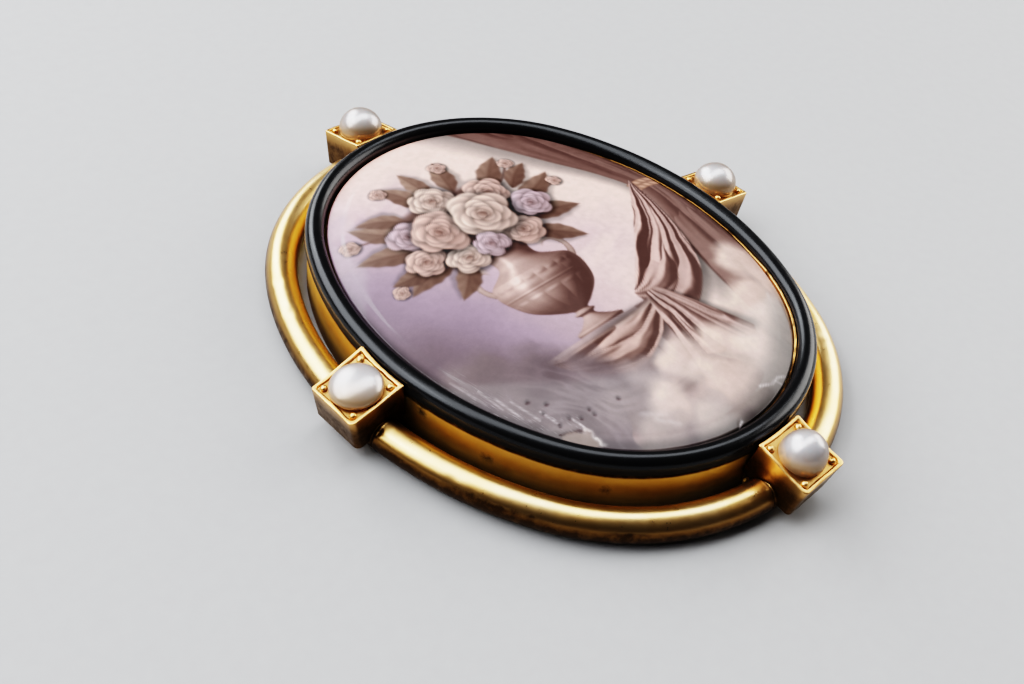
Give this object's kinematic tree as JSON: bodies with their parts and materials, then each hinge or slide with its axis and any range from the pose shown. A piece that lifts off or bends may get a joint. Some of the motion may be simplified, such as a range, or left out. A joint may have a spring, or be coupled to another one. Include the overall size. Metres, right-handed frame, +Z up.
{
  "type": "miniature brooch",
  "caption": "Oval brooch: a domed painted plaque in a black ring and a gold case, inside a gold tube frame with leaning square collets that hold pearls, and a pin behind.",
  "frame": {"origin": "middle of the oval, on the surface that the brooch lies on", "axes": "+Z up through the dome, +Y along the long axis to the brooch's top as worn, +X to its right side"},
  "size_m": [0.0446, 0.052, 0.0066],
  "materials": {
    "gold": "satin yellow gold, worn bright on the tube's crown",
    "black_enamel": "glossy black",
    "painted_plaque": "glossy glaze over a sepia and lilac painting, finely scratched",
    "pearl": "soft pearl lustre"
  },
  "bodies": {
    "root": {"frame": "gold", "enamel_ring": "black_enamel", "bezel": "gold", "miniature": "painted_plaque", "pearl_right": "pearl", "pearl_top": "pearl", "pearl_left": "pearl", "pearl_bottom": "pearl", "pin": "gold"}
  },
  "joints": []
}
